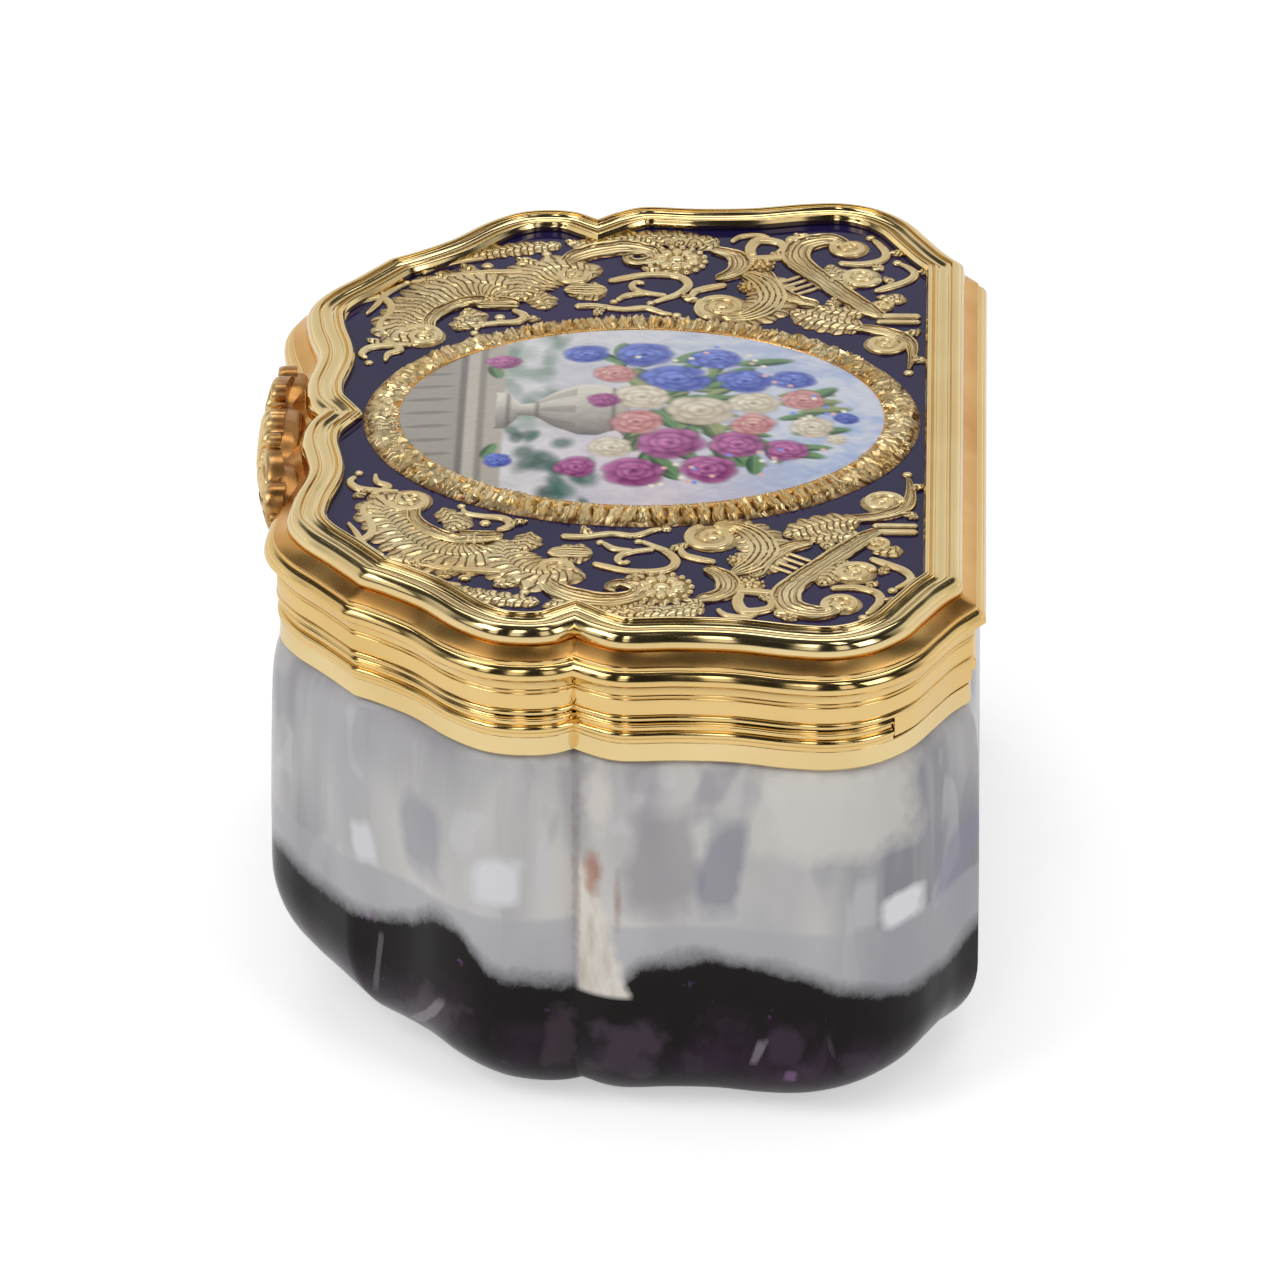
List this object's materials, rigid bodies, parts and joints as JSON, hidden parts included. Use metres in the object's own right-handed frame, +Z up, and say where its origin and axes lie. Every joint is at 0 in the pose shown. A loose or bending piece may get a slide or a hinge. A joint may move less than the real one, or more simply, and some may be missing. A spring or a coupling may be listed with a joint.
{
  "type": "snuff box",
  "caption": "Cartouche-shaped stone box in gold mounts, with a hinged lid of dark blue enamel, gold scrollwork and an oval painted plaque in a leaf border.",
  "frame": {"origin": "on the flat underside, straight below the middle of the lid's oval", "axes": "+X along the box to the right, +Y to the back where the hinge is, +Z up"},
  "size_m": [0.086, 0.063, 0.046],
  "materials": {
    "banded_stone": "polished banded amethyst quartz, pale above and nearly black below",
    "gold_polished": "polished yellow gold",
    "gold_chased": "chased matt yellow gold",
    "blue_enamel": "glossy translucent dark blue enamel",
    "painted_enamel": "glossy painted enamel"
  },
  "bodies": {
    "base": {"stone_bowl": "banded_stone", "base_collar": "gold_polished", "inner_bezel": "gold_polished", "base_bead": "gold_polished", "base_knuckle_1": "gold_polished", "base_knuckle_2": "gold_polished", "base_knuckle_3": "gold_polished", "base_knuckle_4": "gold_polished", "base_knuckle_5": "gold_polished", "hinge_pin": "gold_polished", "hinge_cap_right": "gold_polished", "hinge_cap_left": "gold_polished"},
    "lid": {"lid_wall": "gold_polished", "ovolo_moulding": "gold_polished", "cavetto_moulding": "gold_polished", "upper_rim": "gold_polished", "lid_inner_plate": "gold_polished", "plaque_bezel": "gold_polished", "lid_knuckle_1": "gold_polished", "lid_knuckle_2": "gold_polished", "lid_knuckle_3": "gold_polished", "lid_knuckle_4": "gold_polished", "scroll_mount_right": "gold_chased", "scroll_mount_left": "gold_chased", "leaf_border": "gold_chased", "thumbpiece": "gold_chased", "enamel_panel": "blue_enamel", "picture_plaque": "painted_enamel"}
  },
  "joints": [
    {"name": "lid_hinge", "type": "hinge", "parent": "base", "child": "lid", "pos_m": [0, 0.028, 0.0368], "axis": [-1, 0, 0], "range_deg": [0, 95]}
  ]
}
